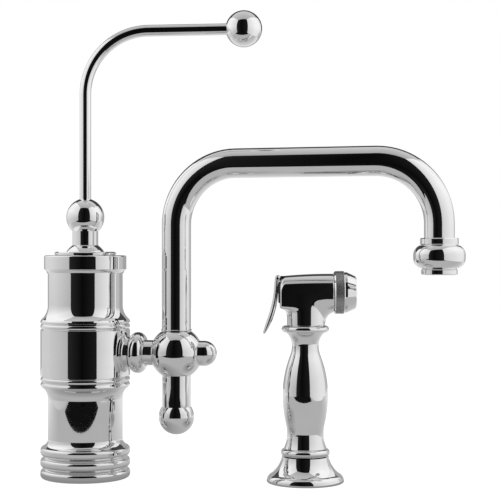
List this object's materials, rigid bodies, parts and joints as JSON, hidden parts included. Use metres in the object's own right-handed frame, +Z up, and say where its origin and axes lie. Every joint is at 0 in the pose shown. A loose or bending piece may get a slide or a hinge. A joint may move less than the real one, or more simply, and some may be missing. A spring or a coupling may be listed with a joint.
{
  "type": "side spray kitchen faucet",
  "caption": "Chrome kitchen tap: ribbed column with a hooked single lever, a swivelling arched spout on a ball hub, and a pull-out hand spray in its own bell holder.",
  "frame": {"origin": "centre of the column's base, on the deck", "axes": "+Z up, +X along the side arm towards the spout, +Y away from the user"},
  "size_m": [0.3208, 0.0717, 0.356],
  "materials": {
    "chrome": "polished chrome plate on brass",
    "brass": "turned",
    "steel": "plain stainless",
    "white_plastic": "moulded",
    "dark_plastic": "moulded",
    "ceramic": "lapped alumina ceramic",
    "rubber": "moulded"
  },
  "bodies": {
    "root": {"base_gasket": "rubber", "base_ring": "chrome", "column_body": "chrome", "top_collar": "chrome", "dome_ring": "chrome", "dome_guide": "white_plastic", "cartridge_base": "white_plastic", "port_seals": "rubber", "fixed_disc": "ceramic", "cartridge_case": "white_plastic", "cartridge_nut": "brass", "diverter_seat": "white_plastic", "diverter_spring": "steel", "arm_flange": "chrome", "arm_tube": "brass", "arm_ring": "chrome", "hub_ball": "chrome", "hub_finial": "chrome", "upper_bush": "white_plastic", "lower_bush": "white_plastic", "lower_stem": "chrome", "lower_ball": "chrome", "spray_holder": "chrome", "holder_gasket": "rubber", "holder_sleeve": "white_plastic"},
    "diverter": {"diverter_piston": "white_plastic"},
    "spout": {"spout_tube": "chrome", "spout_shank": "brass", "shank_rings": "rubber", "shank_clip": "steel", "outlet_collar": "chrome", "outlet_bell": "chrome", "aerator_ring": "chrome", "aerator_core": "white_plastic", "aerator_screen": "steel"},
    "rotor": {"cartridge_rotor": "white_plastic", "stem_pin": "steel"},
    "disc": {"disc_carrier": "white_plastic", "moving_disc": "ceramic"},
    "lever": {"cartridge_stem": "steel", "lever_dome": "chrome", "lever_ball": "chrome", "lever_rod": "chrome", "lever_knob": "chrome", "lever_screw": "steel"},
    "hose_end": {"hose_fitting": "brass"},
    "spray": {"spray_grip": "chrome", "grip_ring": "chrome", "grip_collar": "chrome", "spray_head": "chrome", "nozzle_ring": "chrome", "nozzle_cone": "chrome", "spray_plate": "dark_plastic", "valve_seat": "white_plastic", "valve_spring": "steel", "trigger_pin": "steel"},
    "valve": {"valve_stem": "steel", "valve_cap": "dark_plastic"},
    "trigger": {"trigger": "chrome"}
  },
  "joints": [
    {"name": "spout_swivel", "type": "hinge", "parent": "root", "child": "spout", "pos_m": [0.071, 0, 0.0953], "axis": [0, 0, 1], "range_deg": [-110, 110]},
    {"name": "temperature_turn", "type": "hinge", "parent": "root", "child": "rotor", "pos_m": [0, 0, 0.1627], "axis": [0, 0, 1], "range_deg": [-59, 41]},
    {"name": "lever_tilt", "type": "hinge", "parent": "rotor", "child": "lever", "pos_m": [0, 0, 0.1627], "axis": [0.1564, -0.9877, 0], "range_deg": [0, 20]},
    {"name": "disc_slide", "type": "slide", "parent": "rotor", "child": "disc", "axis": [0.9877, 0.1564, 0], "range_m": [0, 0.0063]},
    {"name": "diverter_slide", "type": "slide", "parent": "root", "child": "diverter", "axis": [1, 0, 0], "range_m": [0, 0.003], "stiffness_N_per_m": 150, "springref_m": -0.002, "deforming": ["diverter_spring"]},
    {"name": "spray_lift", "type": "slide", "parent": "root", "child": "hose_end", "axis": [0, 0, 1], "range_m": [0, 0.06]},
    {"name": "spray_turn", "type": "hinge", "parent": "hose_end", "child": "spray", "pos_m": [0.1684, 0.0044, 0.0225], "axis": [0, 0, 1], "continuous": true},
    {"name": "trigger_squeeze", "type": "hinge", "parent": "spray", "child": "trigger", "pos_m": [0.14776, 0.00113, 0.152], "axis": [0.1564, -0.9877, 0], "range_deg": [0, 7], "stiffness_Nm_per_rad": 0.3, "springref_deg": -11.46, "deforming": ["valve_spring"]},
    {"name": "valve_slide", "type": "slide", "parent": "spray", "child": "valve", "axis": [0.9877, 0.1564, 0], "range_m": [0, 0.0013]}
  ],
  "couplings": [
    {"joint": "disc_slide", "follows": "lever_tilt", "m_per_rad": 0.018},
    {"joint": "valve_slide", "follows": "trigger_squeeze", "m_per_rad": 0.0106}
  ]
}
